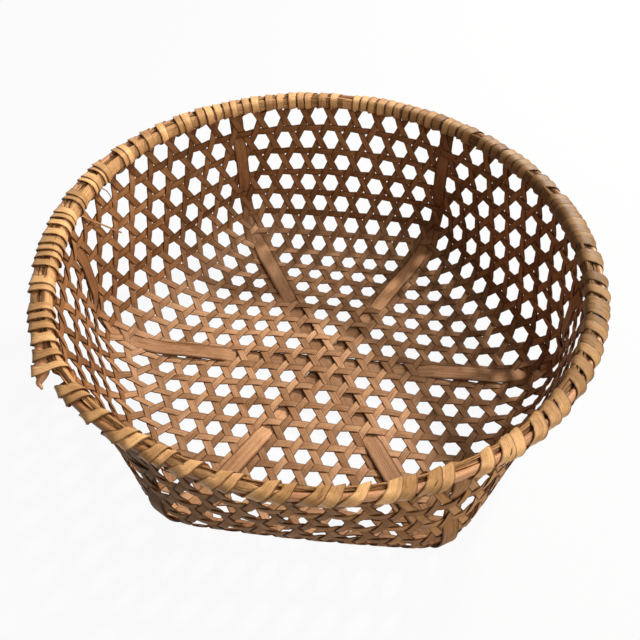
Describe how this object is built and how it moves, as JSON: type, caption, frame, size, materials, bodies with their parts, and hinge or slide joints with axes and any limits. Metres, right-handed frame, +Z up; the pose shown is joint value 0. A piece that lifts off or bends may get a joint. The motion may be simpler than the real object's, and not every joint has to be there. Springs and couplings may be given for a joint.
{
  "type": "harvest basket",
  "caption": "Round open-topped harvest basket in open hexagonal weave of flat splints, with a hexagonal base, crossed slats, wall hoops and a thick bound rim.",
  "frame": {"origin": "middle of the underside of the base, on the plane that the basket rests on", "axes": "+Z up out of the basket's mouth; +X and -X through two opposite corners of the hexagonal base; +Y towards the middle of the side that is farthest in the picture"},
  "size_m": [0.5186, 0.5192, 0.2054],
  "materials": {
    "splint": "satin",
    "slat": "satin",
    "hoop": "satin",
    "rim_inner": "satin",
    "rim_outer": "satin",
    "rim_filler": "satin",
    "rim_binding": "satin"
  },
  "bodies": {
    "root": {"splint_a1": "splint", "splint_a2": "splint", "splint_a3": "splint", "splint_a4": "splint", "splint_a5": "splint", "splint_a6": "splint", "splint_a7": "splint", "splint_b1": "splint", "splint_b2": "splint", "splint_b3": "splint", "splint_b4": "splint", "splint_b5": "splint", "splint_b6": "splint", "splint_b7": "splint", "splint_c1": "splint", "splint_c2": "splint", "splint_c3": "splint", "splint_c4": "splint", "splint_c5": "splint", "splint_c6": "splint", "splint_c7": "splint", "splint_d1": "splint", "splint_d2": "splint", "splint_d3": "splint", "splint_d4": "splint", "splint_d5": "splint", "splint_d6": "splint", "splint_d7": "splint", "splint_e1": "splint", "splint_e2": "splint", "splint_e3": "splint", "splint_e4": "splint", "splint_e5": "splint", "splint_e6": "splint", "splint_e7": "splint", "splint_f1": "splint", "splint_f2": "splint", "splint_f3": "splint", "splint_f4": "splint", "splint_f5": "splint", "splint_f6": "splint", "splint_f7": "splint", "edge_splints_8_north": "splint", "edge_splints_8_south": "splint", "edge_splints_9_north": "splint", "edge_splints_9_south": "splint", "slat_a": "slat", "slat_b": "slat", "slat_c": "slat", "hoop_1": "hoop", "hoop_2": "hoop", "hoop_3": "hoop", "hoop_4": "hoop", "hoop_5": "hoop", "rim_inner_ring": "rim_inner", "rim_outer_ring": "rim_outer", "rim_filler_cane": "rim_filler", "rim_binding": "rim_binding"}
  },
  "joints": []
}
